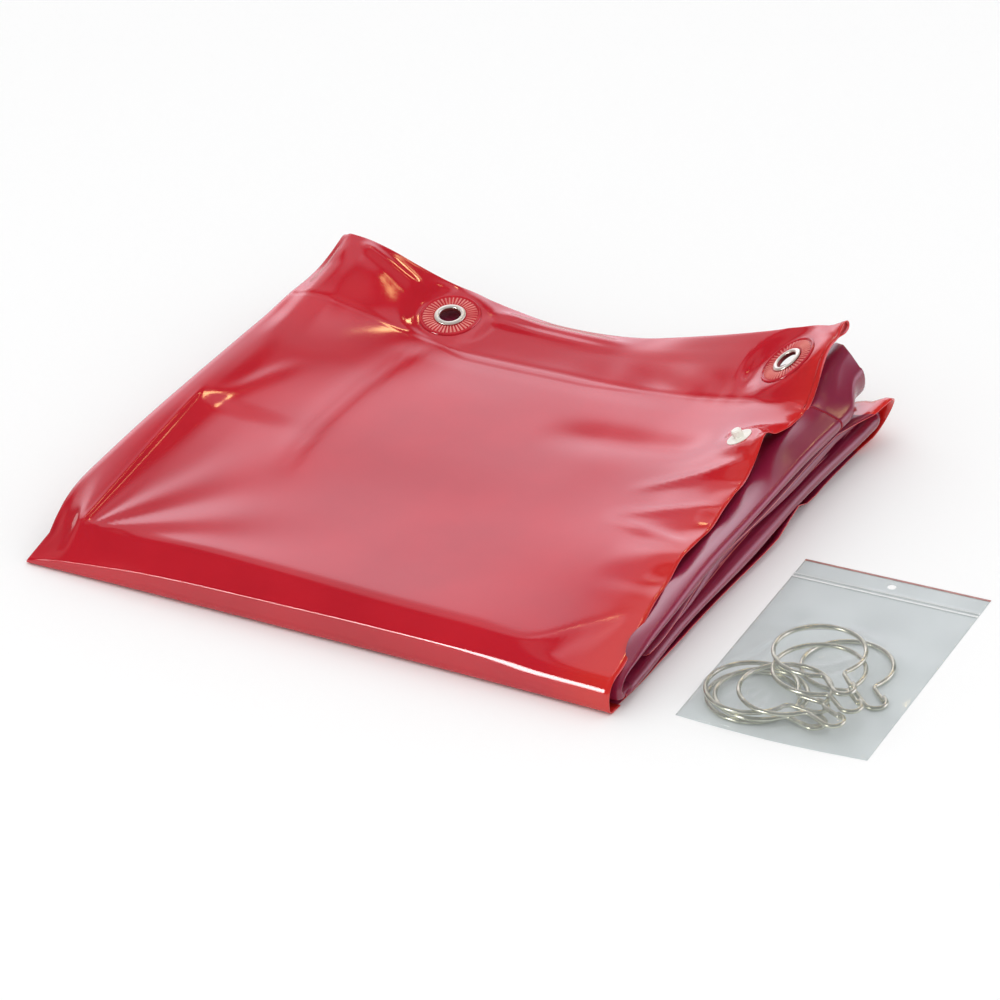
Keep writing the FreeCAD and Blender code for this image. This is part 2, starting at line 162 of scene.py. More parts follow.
def film_seat(node, panel, offset):
    """Where a piece sits on the film: the panel, the film's middle there, and its normal."""
    points = points_of(node)
    normal = axis_towards(points, (0.0, 0.0, 1.0))
    return panel, (points.mean(axis=0) - np.array(CORNER)) / MM + normal * offset, normal


EYELET_SEATS = {
    number: film_seat(
        f"eyelet_washer_{number}", panel, WASHER_TO_HEM if panel % 2 == 0 else -WASHER_TO_HEM)
    for number, panel in EYELET_PANELS.items()
}

# --- Shape of the four panels of the flap: heights of the middle of the film ---
FRONT = 12.0                 # where the flap meets the front fold
WELD = 261.0
TOP_EDGE = 309.0

TOP_COLUMNS = (10, 20, 32, 47, 63, 80, 97, 124, 153, 180, 207, 234, 264, 288, 304, 318, 333)
# At each distance from the front, the height at each column; the same for the panels below.
TOP_ROWS = {
    12: (26.0, 25.6, 25.0, 24.6, 24.4, 24.3, 24.3, 24.3, 24.3, 24.3, 24.3, 24.3, 24.4, 24.5, 24.6,
         24.6, 24.4),
    60: (28.2, 27.6, 25.9, 25.0, 24.5, 24.1, 23.8, 23.6, 23.6, 23.7, 23.8, 24.2, 25.0, 25.8, 26.3,
         26.5, 26.0),
    110: (30.6, 29.6, 27.0, 25.8, 25.1, 24.6, 24.2, 23.7, 23.5, 23.6, 24.0, 24.9, 26.4, 28.2, 29.8,
          31.2, 32.0),
    160: (31.3, 30.3, 27.7, 26.4, 25.6, 25.1, 24.7, 24.3, 24.2, 24.4, 25.0, 26.0, 27.4, 29.6, 31.8,
          33.2, 33.8),
    212: (31.4, 31.0, 29.6, 28.0, 26.6, 25.5, 24.8, 24.4, 24.5, 24.9, 25.7, 27.1, 29.6, 33.6, 38.6,
          44.4, 46.4),
    240: (32.0, 33.2, 33.0, 31.2, 28.9, 26.9, 25.4, 23.9, 24.2, 25.0, 25.9, 27.2, 29.8, 34.0, 38.2,
          40.6, 41.8),
    261: (34.4, 37.0, 37.6, 35.2, 31.8, 28.4, 25.8, 23.4, 23.8, 24.6, 25.2, 27.0, 31.0, 35.8, 39.5,
          42.5, 43.5),
    285: (36.0, 43.0, 45.5, 43.0, 37.5, 31.5, 29.0, 26.5, 26.0, 26.3, 27.8, 31.0, 38.0, 44.5, 50.6,
          57.5, 61.5),
    297: (38.0, 47.5, 48.6, 45.5, 40.0, 34.5, 31.0, 29.0, 27.2, 27.5, 29.2, 33.8, 41.8, 49.0, 55.8,
          61.5, 64.5),
    309: (40.5, 51.0, 50.0, 46.5, 41.0, 35.8, 32.0, 26.9, 23.8, 24.9, 28.8, 36.2, 45.4, 53.6, 60.0,
          63.4, 66.5),
}
LOW_COLUMNS = (12, 45, 80, 160, 250, 290, 313, 326, 334, 346)
SECOND_ROWS = {
    12: (17.5, 21.0, 22.0, 22.2, 22.2, 22.2, 22.2, 20.6, 19.4, 19.0),
    60: (15.5, 19.0, 20.0, 20.4, 20.8, 21.8, 22.6, 23.6, 24.4, 28.2),
    150: (16.5, 19.5, 20.0, 20.6, 21.5, 24.5, 27.0, 29.0, 30.6, 36.0),
    212: (17.5, 20.0, 20.3, 20.6, 22.0, 27.0, 34.0, 38.5, 39.5, 37.8),
    261: (24.0, 28.0, 22.0, 20.6, 20.8, 28.0, 36.0, 41.0, 41.5, 38.0),
    285: (29.0, 34.0, 24.5, 20.6, 20.8, 31.0, 45.0, 51.0, 47.5, 38.5),
    309: (39.0, 37.0, 26.5, 20.6, 20.8, 32.0, 47.0, 56.0, 50.0, 38.0),
}
THIRD_ROWS = {
    12: (16.9, 20.4, 21.2, 21.4, 21.4, 21.4, 21.3, 19.8, 18.7, 18.3),
    60: (14.5, 17.0, 17.8, 18.0, 18.2, 18.8, 19.6, 20.4, 21.2, 22.8),
    150: (15.0, 16.6, 17.0, 17.0, 17.2, 18.6, 21.0, 24.0, 26.8, 30.5),
    212: (16.0, 16.8, 16.8, 16.8, 17.0, 18.8, 23.2, 26.5, 29.0, 32.0),
    261: (20.0, 24.0, 18.8, 16.4, 16.6, 18.8, 23.2, 26.5, 29.0, 31.0),
    309: (34.0, 32.0, 22.0, 16.4, 16.6, 18.8, 23.2, 26.5, 29.0, 31.0),
}
FOURTH_ROWS = {
    12: (16.3, 19.6, 20.4, 20.6, 20.6, 20.5, 20.0, 18.8, 18.0, 17.4),
    60: (13.2, 14.8, 15.0, 15.0, 15.0, 15.2, 15.8, 16.5, 17.2, 17.8),
    100: (13.4, 14.6, 14.7, 14.7, 14.8, 15.5, 17.5, 19.0, 20.4, 22.5),
    150: (13.6, 14.5, 14.6, 14.6, 14.8, 16.0, 19.6, 22.4, 24.8, 27.6),
    212: (14.2, 14.5, 14.5, 14.5, 14.6, 16.6, 21.0, 23.6, 25.6, 28.0),
    261: (18.0, 22.0, 16.6, 14.4, 14.6, 16.6, 21.2, 23.6, 25.6, 27.6),
    309: (31.0, 29.0, 19.6, 14.4, 14.6, 16.6, 21.2, 23.0, 24.2, 25.0),
}


def top_creases(x, y):
    """What the top panel's film does between the smooth heights: creases, wrinkles, ripples."""
    # A sharp crease runs back from the front left corner, parallel to the side.
    ridge_x = 29.0 - 12.0 * y / 147.0
    inside = x - ridge_x
    along = step(4, 14, y) * step(156, 140, y)
    crease = np.where(inside > 0, -1.0 * (1 - np.exp(-inside / 1.5)) * step(75, 25, inside), 0.0)
    crease = crease + 0.2 * bump(inside, 0.0, 1.1)
    rise = along * crease
    # Wrinkles fan out of that corner.
    away = np.hypot(x - 32, y - 8) + 1e-6
    angle = np.arctan2(y - 8, x - 32)
    fan = away / (away ** 2 + 35.0 ** 2) * 60.0 * step(150, 60, away)
    rise += 0.55 * fan * np.sin(11.0 * angle + 1.2) * step(0.0, 0.1, angle) * step(1.6, 1.2, angle)
    # A finger-shaped swell runs on from the crease's far end towards the hem.
    rise += 0.5 * bump(x, 26 + 0.375 * (y - 150), 5.5) * step(148, 160, y) * step(212, 186, y)
    # A fine fold wanders from the hem towards the front left.
    fold_x = 91.0 + 9.0 * ((y - 175.0) / 75.0) ** 2
    soft = 0.45 * bump(x, fold_x - 6.0, 9.0) + 0.30 * bump(x, fold_x, 2.0)
    rise += soft * step(95, 135, y) * step(262, 238, y)
    # A shallow valley lies under the right half of the hem.
    rise -= 1.7 * bump(y, 206 + 0.08 * (x - 250), 13) * step(195, 235, x) * step(305, 280, x)
    # The side edge waves between its studs.
    wave = np.sin((y - 93.0) * 2 * math.pi / 47.0)
    rise += 1.4 * wave * step(292, 330, x) * step(60, 90, y) * step(195, 178, y)
    # Three short folds run from that edge into the panel.
    for start, lean, size in ((185, -0.55, 1.3), (150, -0.35, 1.0), (122, 0.25, 1.1)):
        line = start + lean * (313 - x)
        rise += size * bump(y, line, 4.5) * step(270, 300, x) * step(336, 318, x)
    return rise


# Where the front slope ends in a crease, and the height of the front wall's upper edge.
CREASE_LINE = ((6, 30), (18, 21), (28, 10.5), (62, 15), (97, 17), (159, 16), (219, 15), (262, 15),
               (288, 12), (300, 19), (316, 42), (331, 56))
WALL_TOP = ((0, 3.0), (15, 5.5), (46, 10.0), (77, 13.0), (165, 15.8), (250, 17.4), (330, 18.6))
WALL_DEPTH = 1.0


def front_slope(x, y):
    """How far the film falls below the flat middle in front of the crease behind the front fold."""
    crease = through(CREASE_LINE, x)
    top = through(list(zip(TOP_COLUMNS, TOP_ROWS[12])), x)
    steep = (top - through(WALL_TOP, x)) / (crease - WALL_DEPTH)
    soft = 1.3 + 7.0 * step(28, 10, x)
    return steep * np.logaddexp(0.0, (crease - y) / soft) * soft


def hem_ripples(x, y):
    """Long swells along the hem, between the weld line and the top edge."""
    on_hem = step(WELD - 3, WELD + 6, y)
    rise = 1.0 * bump(y, 299.5, 3.0) * step(116, 130, x) * step(210, 180, x)
    rise += 0.9 * bump(y, 291.0, 3.0) * step(116, 130, x) * step(200, 170, x)
    rise += 1.5 * bump(y, 303 - 0.25 * (x - 34), 4.0) * step(26, 38, x) * step(84, 64, x)
    slack = step(195, 225, x) * step(285, 262, x) * bump(y, 272, 9)
    rise += 0.5 * np.sin(x / 7.5 + y / 9.0) * slack
    return rise * on_hem


def pucker(x, y):
    """The weld line: a shallow groove, with the film drawn up beside it."""
    groove = -0.35 * bump(y, WELD, 1.6)
    drawn = 0.16 * np.sin(x / 2.1 + 1.5 * np.sin(x / 11.0)) * bump(y, WELD + 2, 7.0)
    return groove + drawn * step(240, 285, x)


# Each seat on the film, the radius of its flat part and the radius where that ends.
SEATS = [(*seat, 18.0, 27.0) for seat in EYELET_SEATS.values()]
SEATS += [(*film_seat("press_stud_cap", 0, CAP_TO_FILM), 8.5, 15.0),
          (*film_seat("press_stud_socket_cap", 3, -CAP_TO_FILM), 9.0, 20.0)]


def flatten(height, x, y, panel):
    """Lays the film flat under the eyelets and studs of one panel."""
    for seat_panel, centre, normal, near, far in SEATS:
        if seat_panel == panel:
            dx, dy = x - centre[0], y - centre[1]
            plane = centre[2] - (normal[0] * dx + normal[1] * dy) / normal[2]
            height = height + (plane - height) * step(far, near, np.hypot(dx, dy))
    return height


def top_edge_line(y):
    """Where the top panel's free side edge lies."""
    return through([(12, 346), (25, 344.5), (49, 340), (62, 337.5), (91, 334), (126, 333),
                    (150, 332), (170, 331), (250, 330.5), (285, 329.5), (309, 328.5)], y)


def edge_wave(y):
    """How much higher than the smooth shape the free edge stands."""
    swells = ((7.5, 207, 8), (-3.0, 186, 9), (1.2, 170, 8), (-2.0, 145, 10), (1.2, 126, 8),
              (-1.5, 92, 9), (-1.5, 262, 10))
    return sum(size * bump(y, place, width) for size, place, width in swells)


CLEAR = 0.9                    # least gap between the middles of two panels


def panel_height(panel, x, y):
    """Height of the middle of one panel's film; panel 0 is the top one."""
    if panel == 0:
        height = terrain(TOP_COLUMNS, TOP_ROWS, x, y)
        height = height + top_creases(x, y) + hem_ripples(x, y) + pucker(x, y) - front_slope(x, y)
        height = height + step(318, 332, x) * step(60, 85, y) * edge_wave(y)
        return flatten(height, x, y, panel)
    height = terrain(LOW_COLUMNS, (SECOND_ROWS, THIRD_ROWS, FOURTH_ROWS)[panel - 1], x, y)
    if panel == 3:
        waves = 3.2 * np.sin((y - 38) * 2 * math.pi / 34.0) * step(115, 85, y)
        waves = waves + 1.1 * np.sin(y * 2 * math.pi / 61.0) * step(85, 115, y)
        height = height + step(322, 341, x) * step(40, 62, y) * waves
    if panel == 1:
        ripple = np.sin(y / 19.0 + x / 40.0) * step(300, 330, x) * step(40, 70, y)
        height = height + 0.8 * ripple
    inner = 331.0              # the right ends beyond this may rise past the panel above
    above = panel_height(panel - 1, np.minimum(x, inner - 1), y) - CLEAR
    height = np.where(x < inner, np.minimum(height, above), height)
    return flatten(height, x, y, panel)


# --- Grids: a sheet is a grid of lines across (along the zigzag) and lines along the strip ---
def new_piece(name, points, faces, flat_faces=0):
    """A smooth-shaded object from points in metres; its last flat_faces faces stay flat."""
    mesh = bpy.data.meshes.new(name)
    mesh.from_pydata(points.tolist(), [], faces)
    smooth = [True] * (len(faces) - flat_faces) + [False] * flat_faces
    mesh.polygons.foreach_set("use_smooth", smooth)
    mesh.update()
    piece = bpy.data.objects.new(name, mesh)
    bpy.context.scene.collection.objects.link(piece)
    return piece


def sheet_mesh(name, grid, keep=None):
    """A sheet from a grid of points in pack millimetres; keep says which faces stay."""
    across, along = grid.shape[:2]
    points = grid.reshape(-1, 3) * MM + np.array(CORNER)
    i, j = np.meshgrid(np.arange(across - 1), np.arange(along - 1), indexing="ij")
    first = i * along + j
    faces = np.stack([first, first + along, first + along + 1, first + 1], axis=-1)
    faces = faces.reshape(-1, 4) if keep is None else faces[keep]
    used, numbers = np.unique(faces, return_inverse=True)
    return new_piece(name, points[used], numbers.reshape(-1, 4).tolist())


def thicken(piece, thickness):
    """Gives a sheet its thickness; its cut edges take the piece's last material, which on the
    curtain's film is the painted edge glow.
    """
    solid = piece.modifiers.new("film", "SOLIDIFY")
    solid.thickness = thickness * MM
    solid.offset = 0.0
    solid.material_offset_rim = 2
    return piece


def normals_of(grid):
    """Unit normals of a grid of points."""
    across = np.gradient(grid, axis=0)
    along = np.gradient(grid, axis=1)
    normal = np.cross(across, along)
    return normal / np.maximum(np.linalg.norm(normal, axis=-1, keepdims=True), 1e-9)


HOLE = 6.6                    # radius of the hole in the film under an eyelet
PATCH = 17.0                  # the grid is drawn aside within this distance of the hole's centre
SQUARE = 0.9                  # half side of the square of lines that becomes the hole, by radius


def open_hole(x, y, centre, hole=HOLE, patch=PATCH):
    """Draws the grid's lines aside round a hole: the square of lines beside it becomes round."""
    dx, dy = x - centre[0], y - centre[1]
    square = np.maximum(np.abs(dx), np.abs(dy))
    away = np.hypot(dx, dy)
    near = (square < patch) & (away > 1e-6)
    half = hole * SQUARE
    share = np.clip((square - half) / (patch - half), 0.0, 1.0)
    wanted = hole + (away - hole) * share
    scale = np.where(near, wanted / np.maximum(away, 1e-6), 1.0)
    return centre[0] + dx * scale, centre[1] + dy * scale


# --- The flap: front fold, four panels and the doubled hem, as one sheet ---
TURN = np.linspace(0, math.pi, 10)[1:-1]       # angles of the lines round a side fold
DRAWN_FILM = 0.95 * FILM                       # a hair thinner, so that touching layers stay apart
TOP_PANEL = (8.0, 342.0)                       # left and right ends of the top panel's lines
LOW_PANELS = (10.0, 346.0)
FREE_EDGE = LOW_PANELS[1]


def hole_lines(centre):
    """Grid lines across an eyelet's hole, from one side of its square to the other."""
    return [centre + HOLE * SQUARE * share for share in (-1, -0.5, 0, 0.5, 1)]


def eyelets_in(panel):
    """Centres of the eyelets of one panel."""
    return [centre for seat_panel, centre, _ in EYELET_SEATS.values() if seat_panel == panel]


def flap_columns():
    """For each panel, the places of its lines across, left to right."""
    low, high = TOP_PANEL
    top = spaced(low, 16, 2.0) + spaced(17, 38, 0.9) + spaced(40, high, 3.0)
    columns = []
    for panel in range(4):
        places, gap = (top, 3.0) if panel == 0 else (spaced(*LOW_PANELS, 7.0), 7.0)
        for centre in eyelets_in(panel):
            places = merged(places, hole_lines(centre[0]), gap * 0.5)
        columns.append(np.array(places))
    return columns


FLAP_COLUMNS = flap_columns()
EYELET_Y = float(np.mean([centre[1] for _, centre, _ in EYELET_SEATS.values()]))
FLAP_LINES = np.array(merged(
    spaced(FRONT, WELD - 8, 3.0) + spaced(WELD - 6, WELD + 6, 1.5)[:-1]
    + spaced(WELD + 6, TOP_EDGE, 1.6),
    hole_lines(EYELET_Y), 1.2))
FOLD_BACK = (0.0, 6.0, 8.0, 13.0)              # how far behind the outer film each one turns


def left_end(y):
    """How far in from the left the film's side folds begin."""
    return through(
        [(12, 2.5), (35, 0), (60, -0.8), (200, -0.8), (250, 0.8), (285, 5), (309, 10)], y)


def panel_points(panel):
    """The grid of one panel: its lines across, at each line along the strip."""
    x, y = np.meshgrid(FLAP_COLUMNS[panel], FLAP_LINES, indexing="ij")
    y = y + FOLD_BACK[panel] * step(305, 338, x) * step(110, FRONT, y)
    for centre in eyelets_in(panel):
        x, y = open_hole(x, y, centre)
    if panel == 0:
        x = x + (top_edge_line(y) - TOP_PANEL[1]) * step(325, TOP_PANEL[1], x)
        y = y - 5.0 * bump(y, WELD, 14) * step(100, 125, x) * step(240, 190, x)
    if panel == 3:
        x = x - 4.0 * step(325, FREE_EDGE, x)
    if panel > 0:
        x = x - 8.0 * step(270, 303, y) * step(315, FREE_EDGE, x)
        y = y - 4.0 * step(270, 303, y) * step(315, 340, x)
    x = x + left_end(y) * step(60, 8, x)
    return np.stack([x, y, panel_height(panel, x, y)], axis=-1)


def round_fold(start, end, bulge, angles, axis):
    """Lines round a fold that leads from one line to another and bulges along an axis."""
    lines = []
    for angle in angles:
        point = (start + end) / 2 + (start - end) / 2 * math.cos(angle)
        point[:, axis] += bulge * math.sin(angle)
        lines.append(point)
    return lines


def zigzag(panels, bulges):
    """The panels joined by their side folds: top panel right to left, and so to and fro."""
    parts = []
    for number, points in enumerate(panels):
        leftward = number % 2 == 0
        parts.append(points[::-1] if leftward else points)
        if number < len(panels) - 1:
            start = points[0] if leftward else points[-1]
            following = panels[number + 1]
            end = following[0] if leftward else following[-1]
            bulge = -bulges[number] if leftward else bulges[number]
            parts.append(round_fold(start, end, bulge, TURN, 0))
    return np.concatenate(parts)


FLAP_BULGES = (4.5, 3.0, 4.0)
# Layer and height at the right side, near the front and from the middle on.
FAN_FRONT = (
    (0, 0.4), (1, 4.5), (2, 10.0), (3, 10.3), (16, 11.4), (17, 11.7), (18, 12.8), (19, 13.4))
FAN_MIDDLE = (
    (0, 0.5), (1, 9.0), (2, 16.8), (3, 17.2), (16, 19.0), (17, 19.4), (18, 25.8), (19, 26.5))
PITCH = 0.62                  # from one layer of the stack to the next, where it lies flat


def stack_height(layer, x, y):
    """Height of a layer of the stack, counted from the floor; the layers fan out at the right."""
    flat = FILM / 2 + PITCH * layer
    front = through(FAN_FRONT, layer)
    middle = through(FAN_MIDDLE, layer)
    fanned = front + (middle - front) * step(30, 150, y)
    share = step(314, 342, x)
    height = flat + (fanned - flat) * share
    if layer >= 16:
        height = height - 3.0 * step(262, 295, y) * share
        height = height + 5.5 * step(342, 354, x) * step(270, 306, y)
    if layer == 0:
        height = height + 6.0 * step(340, 352, x) * step(20, 60, y)
        height = height + 7.0 * step(325, 350, x) * bump(y, 208, 14)
    height = height + 0.35 * np.sin(y / 15.0 + 1.7 * layer) * share * (layer > 0)
    return height


def conic(start, corner, end, pull, share):
    """A curve from start to end that bends round a corner; a larger pull hugs it closer."""
    first, middle, last = (1 - share) ** 2, 2 * pull * share * (1 - share), share ** 2
    return (first * start + middle * corner + last * end) / (first + middle + last)


def fold_under(top):
    """The front fold: a low wall stands on the floor, and a slope leads from it to the panels."""
    start = top[:, 0]
    x, upper = start[:, 0], start[:, 2]
    panel = np.array(PANEL_OF_LINE)
    floor = np.array([float(stack_height(p, np.array(at), FRONT)) for p, at in zip(panel, x)])
    wall = np.minimum(through(WALL_TOP, x) - 0.6 * panel, upper - 0.8)
    wall = np.maximum(wall, floor + 1.5)
    middle = (floor + wall) / 2
    reach = FRONT + 3.5 * step(330, 0, x) - 0.6 * panel
    round_pull = 2.5
    sharp_pull = 1.3 + 24.0 * step(300, 130, x)
    profile = [
        (conic(0 * x, reach, reach, round_pull, share),
         conic(floor, floor, middle, round_pull, share))
        for share in np.linspace(0, 1, 10)[:-1]
    ]
    profile += [
        (conic(reach, reach - WALL_DEPTH, 0 * x, sharp_pull, share),
         conic(middle, wall, upper, sharp_pull, share))
        for share in np.linspace(0, 1, 26)[:-1]
    ]
    lines = []
    for forward, height in profile:
        point = start.copy()
        point[:, 1] -= forward
        point[:, 2] = height
        point[:, 0] -= 6.0 * (upper - height) / (upper - floor) * step(45, 10, x)
        lines.append(point)
    return np.stack(lines, axis=1)


def panel_of_lines():
    """For each line across the whole zigzag, its panel, or a share between two in a fold."""
    numbers = []
    for panel, columns in enumerate(FLAP_COLUMNS):
        numbers += [float(panel)] * len(columns)
        if panel < 3:
            numbers += [panel + share for share in np.linspace(0, 1, len(TURN) + 2)[1:-1]]
    return numbers


PANEL_OF_LINE = panel_of_lines()
LAYER_GAP = 0.21                               # from the hem's middle to the middle of each film
LOOP = np.linspace(0, math.pi, 8)[1:-1]


def make_flap():
    """The flap's film, and for each of its faces the panel that it belongs to."""
    panels = [panel_points(panel) for panel in range(4)]
    top = zigzag(panels, FLAP_BULGES)
    fold = fold_under(top)
    whole = np.concatenate([fold, top], axis=1)
    normal = -normals_of(whole)
    y = np.concatenate([np.zeros(fold.shape[1]), FLAP_LINES])
    x = whole[:, -1, 0]
    # Front layer of the hem, the loop round its top edge, and the layer behind it.
    open_end = 0.25 + 2.6 * step(318, 331, x) * (np.array(PANEL_OF_LINE) == 0)
    teardrop = step(TOP_EDGE - 12, TOP_EDGE - 1, y)
    apart = LAYER_GAP + np.outer(open_end, teardrop)
    on_hem = step(WELD - 3, WELD - 1, y)
    front_layer = whole + normal * (apart * on_hem)[..., None]
    back_layer = whole - normal * apart[..., None]
    edge, last = whole[:, -1], normal[:, -1]
    outward = whole[:, -1] - whole[:, -2]
    outward /= np.linalg.norm(outward, axis=-1, keepdims=True)
    radius = apart[:, -1:]
    loop = [
        edge + last * radius * math.cos(angle) + outward * radius * 1.3 * math.sin(angle)
        for angle in LOOP
    ]
    back = back_layer[:, y > WELD - 1][:, ::-1]
    grid = np.concatenate([front_layer, np.stack(loop, axis=1), back], axis=1)
    keep = faces_kept(grid)
    piece = sheet_mesh("curtain_flap_film", grid, keep)
    lines = np.broadcast_to(np.array(PANEL_OF_LINE)[:-1, None], keep.shape)[keep]
    return thicken(piece, DRAWN_FILM), lines


def faces_kept(grid):
    """Which faces stay once the eyelets' holes are cut."""
    middle = (grid[:-1, :-1] + grid[1:, :-1] + grid[:-1, 1:] + grid[1:, 1:]) / 4
    keep = np.ones(middle.shape[:2], bool)
    for _, centre, normal in EYELET_SEATS.values():
        offset = middle - centre
        height = offset @ normal
        flat = np.linalg.norm(offset - height[..., None] * normal, axis=-1)
        keep &= ~((flat < HOLE - 0.2) & (np.abs(height) < 1.0))
    return keep


# --- The stack: the rest of the strip, wound inwards below the flap ---
STACK_COLUMNS = np.array([6, 10, 16, 26, 45, 75, 110, 150, 195, 240, 275, 296, 306, 314, 320, 325,
                          330, 334, 338, 342, 346])
# The layers of each run's four panels, outermost film first.
RUN_LAYERS = ((0, 1, 2, 3), (19, 18, 17, 16), (4, 5, 6, 7), (15, 14, 13, 12), (8, 9, 10, 11))
# The right ends of each run: free edge, fold between second and third panel, free edge.
RUN_ENDS = ((348.0, 344.0, 342.0), (346.0, 341.0, 338.0), (340.0, 337.0, 334.0),
            (339.0, 336.5, 335.0), (341.0, 338.0, 333.0))
# How far the three side folds of each run bulge.
RUN_BULGES = ((3.0, 4.5, 0.6), (3.0, 4.0, 0.6)) + ((0.5, 0.5, 0.5),) * 3
BACK = 318.0
LOOSE_END = 239.0             # where the curtain's bottom edge ends, inside the stack
RUN_TURN = np.linspace(0, math.pi, 13)[1:-1]   # angles of the lines round a fold between runs
REJOIN = 120.0                # from here on, all runs share the same places along the strip


def y_start(run, x):
    """Where a run's front fold turns: the first run's at the front, the others' behind it."""
    if run == 0:
        return FRONT + np.zeros_like(x)
    return FRONT + 2.0 + 30.0 * step(300, 335, x) + 24.0 * step(32, 8, x)


def run_sections(run, y_places):
    """The zigzag of one run at each of its places along the strip."""
    free, fold, last = RUN_ENDS[run]
    panels = []
    for layer, end in zip(RUN_LAYERS[run], (free, fold, fold, last)):
        x, y = np.meshgrid(STACK_COLUMNS, y_places, indexing="ij")
        end = end + 1.2 * np.sin(y / 23.0 + layer)
        if layer == 0:
            end = end - 4.0 * step(75, 15, y) - 3.5 * step(200, 260, y) * step(318, 292, y)
        if layer == 19:
            end = end + 10.0 * step(268, 300, y)
        waver = 0.8 * np.sin(layer * 2.1 + y / 60.0) * step(40, 6, x)
        x = x + (end - STACK_COLUMNS[-1]) * step(200, FREE_EDGE, x) + waver
        x = x + 4.0 * step(80, 20, y) * step(45, 6, x)
        start = y_start(run, x)
        y = np.where(y < REJOIN, start + (y - FRONT) * (REJOIN - start) / (REJOIN - FRONT), y)
        panels.append(np.stack([x, y, stack_height(layer, x, y)], axis=-1))
    return zigzag(panels, RUN_BULGES[run])


def make_stack():
    """The stack's film, and which of its faces keep the red film where its outer side turns up at
    the back; the others take painted shade.
    """
    places = spaced(FRONT, BACK - 14, 13.0)
    short = [p for p in places if p <= LOOSE_END] + [LOOSE_END]
    sections = []
    for run in range(5):
        section = run_sections(run, np.array(short if run == 4 else places))
        sections.append(section if run % 2 == 0 else section[:, ::-1])
    lines = []
    for run, section in enumerate(sections):
        lines += [section[:, n] for n in range(section.shape[1])]
        if run < 4:
            start, end = section[:, -1], sections[run + 1][:, 0]
            thick = np.abs(end[:, 2] - start[:, 2])
            back_fold = np.minimum(13.0, 3.0 + thick * 0.5)
            front_fold = -np.minimum(8.0, 1.0 + thick * 0.5)
            lines += round_fold(start, end, back_fold if run % 2 == 0 else front_fold, RUN_TURN, 1)
    grid = np.stack(lines, axis=1)
    first_run = len(places)
    # Faces round the outermost run's back fold keep the lit red film; all other faces take the
    # painted shade.
    outer = np.zeros((grid.shape[0] - 1, grid.shape[1] - 1), bool)
    outer[:len(STACK_COLUMNS) + 2, first_run - 2:first_run + 12] = True
    return thicken(sheet_mesh("curtain_stack_film", grid), DRAWN_FILM), outer.reshape(-1)


# --- Turned hardware: each piece is a profile of (radius, height) spun round its node's axis ---
def axis_of(node, towards):
    """Middle of a turned node in metres, its axis on the side of `towards`, and its two ends."""
    points = points_of(node)
    middle = (points.min(axis=0) + points.max(axis=0)) / 2
    axis = axis_towards(points, towards)
    reach = (points - middle) @ axis
    return middle, axis, reach.min() / MM, reach.max() / MM


def tube_faces(rings, sides, closed):
    """The faces that join rings of points, each to the next; closed joins the last to the first."""
    faces = []
    for ring in range(rings if closed else rings - 1):
        here, there = ring * sides, (ring + 1) % rings * sides
        for n in range(sides):
            m = (n + 1) % sides
            faces.append((here + n, here + m, there + m, there + n))
    return faces


def spun(name, middle, axis, rings, sides):
    """Spins rings of (radius, height) about the axis; radius and height may vary with the angle."""
    side = np.cross(axis, (0.0, 1.0, 0.0))
    side /= np.linalg.norm(side)
    other = np.cross(axis, side)
    angle = np.arange(sides) * 2 * math.pi / sides
    points = []
    for radius, height in rings:
        around = np.outer(np.cos(angle) * radius, side) + np.outer(np.sin(angle) * radius, other)
        points.append(middle + (around + np.outer(height + 0 * angle, axis)) * MM)
    piece = new_piece(name, np.concatenate(points), tube_faces(len(rings), sides, closed=True))
    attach(piece, "flap")
    return piece


RIBS = 42
DISC_SIDES = RIBS * 8
RING_SIDES = 72


def disc_rings(low, high):
    """A moulded disc: ribs that run outwards, a groove, and a rounded rim."""
    angle = np.arange(DISC_SIDES) * 2 * math.pi / DISC_SIDES
    ridge = (0.5 + 0.5 * np.cos(RIBS * angle)) ** 1.3
    base = high - min(0.95, (high - low) * 0.8)
    tall = high - base
    rings = [(6.8, low), (6.8, base)]
    rings += [
        (radius, base + tall * share * ridge)
        for radius, share in (
            (9.2, 0.0), (9.5, 0.2), (10.0, 0.9), (12.5, 1.0), (14.9, 0.95), (15.3, 0.2))
    ]
    rings += [(15.5, base - 0.05), (15.8, base), (16.1, base + 0.45), (16.6, high),
              (17.1, base + 0.45), (17.4, base), (17.5, low)]
    return rings


def rib_highlight_faces():
    """For each face of a disc, 1 on the crest of a rib, where the painted highlight goes, and 0
    elsewhere.
    """
    angle = (np.arange(DISC_SIDES) + 0.5) * 2 * math.pi / DISC_SIDES
    crest = (np.cos(RIBS * angle) > 0.25).astype(np.int32)
    bare = np.zeros(DISC_SIDES, np.int32)
    rings = len(disc_rings(0.0, 2.0))
    return np.concatenate([crest if 3 <= ring <= 6 else bare for ring in range(rings)])


def ring_rings(low, high):
    """A rolled metal ring with a rounded flange on each face of the film."""
    return [
        (6.02, low + 0.5), (6.0, (low + high) / 2), (6.02, high - 0.75), (6.25, high - 0.3),
        (6.7, high - 0.04), (7.2, high), (7.9, high - 0.06), (8.5, high - 0.32), (8.9, high - 0.72),
        (8.8, high - 0.92), (7.8, high - 0.95), (6.75, high - 1.0), (6.5, high - 1.2),
        (6.5, low + 1.0), (7.6, low + 0.6), (7.8, low + 0.25), (7.3, low), (6.6, low + 0.05),
        (6.2, low + 0.25),
    ]


def barrel_shade_faces():
    """For each face of a ring, 1 inside the hole, where the painted shade goes, and 0 elsewhere."""
    rings = len(ring_rings(0.0, 4.0))
    inside = [ring < 2 or ring >= rings - 2 for ring in range(rings)]
    return np.repeat(np.array(inside, np.int32), RING_SIDES)


